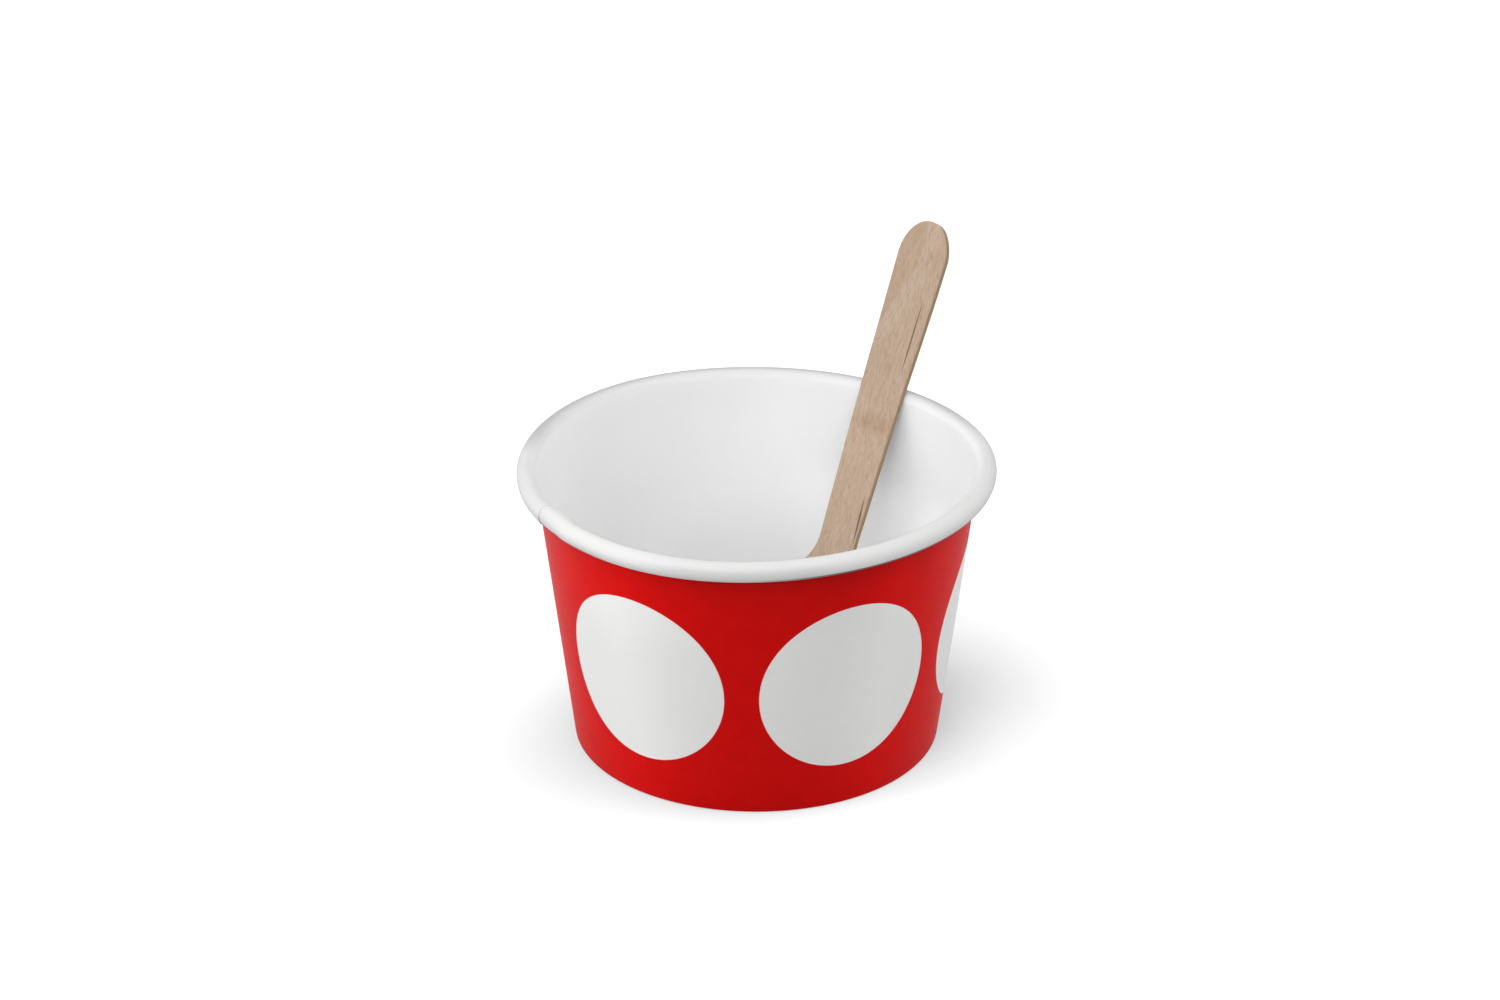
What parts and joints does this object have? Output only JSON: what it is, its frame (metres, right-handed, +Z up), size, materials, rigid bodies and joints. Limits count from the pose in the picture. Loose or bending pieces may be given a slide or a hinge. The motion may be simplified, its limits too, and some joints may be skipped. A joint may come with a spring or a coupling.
{
  "type": "ice cream cup",
  "caption": "Tapered paper ice cream cup with a rolled rim, a lapped side seam and a recessed bottom, with a flat wooden spoon leaning on its rim.",
  "frame": {"origin": "on the surface the cup stands on, at the middle of the cup's round base", "axes": "+Z up along the cup's axis, -Y towards the viewer of the picture, +X to the viewer's right; the spoon leans out over the rim between +X and +Y"},
  "size_m": [0.095, 0.0995, 0.0899],
  "materials": {
    "printed_paper": "satin",
    "white_paper": "satin",
    "birch_wood": "matte"
  },
  "bodies": {
    "root": {"side_wall": "printed_paper", "bottom_disc": "white_paper", "spoon": "birch_wood"}
  },
  "joints": []
}
